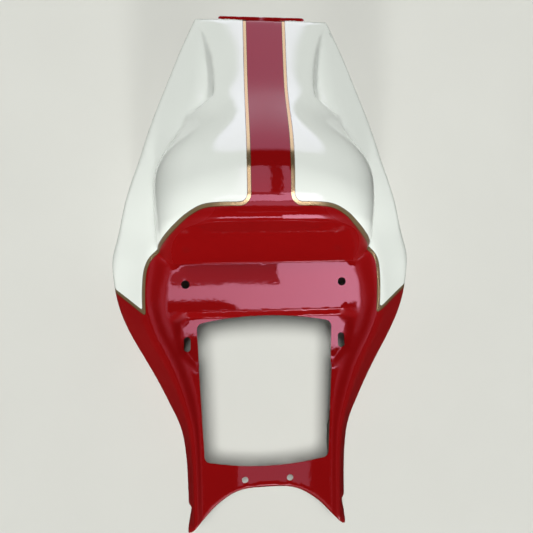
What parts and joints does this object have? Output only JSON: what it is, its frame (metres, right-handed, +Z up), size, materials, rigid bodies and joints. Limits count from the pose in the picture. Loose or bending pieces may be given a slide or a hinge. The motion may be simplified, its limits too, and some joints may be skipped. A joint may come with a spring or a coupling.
{
  "type": "motorcycle seat cowl",
  "caption": "One-piece moulded tail cowl with a humped seat back, flared side wings, a seat opening and a notched front that fits round a fuel tank.",
  "frame": {"origin": "middle of the bounding box in plan, at the lower side edges the cowl rests on", "axes": "+Y to the tail, +X to the side that is on the right in the picture, +Z up out of the seat"},
  "size_m": [0.4058, 0.706, 0.2137],
  "materials": {
    "painted_shell": "gloss two-colour paint over fibreglass"
  },
  "bodies": {
    "root": {"seat_cowl": "painted_shell"}
  },
  "joints": []
}
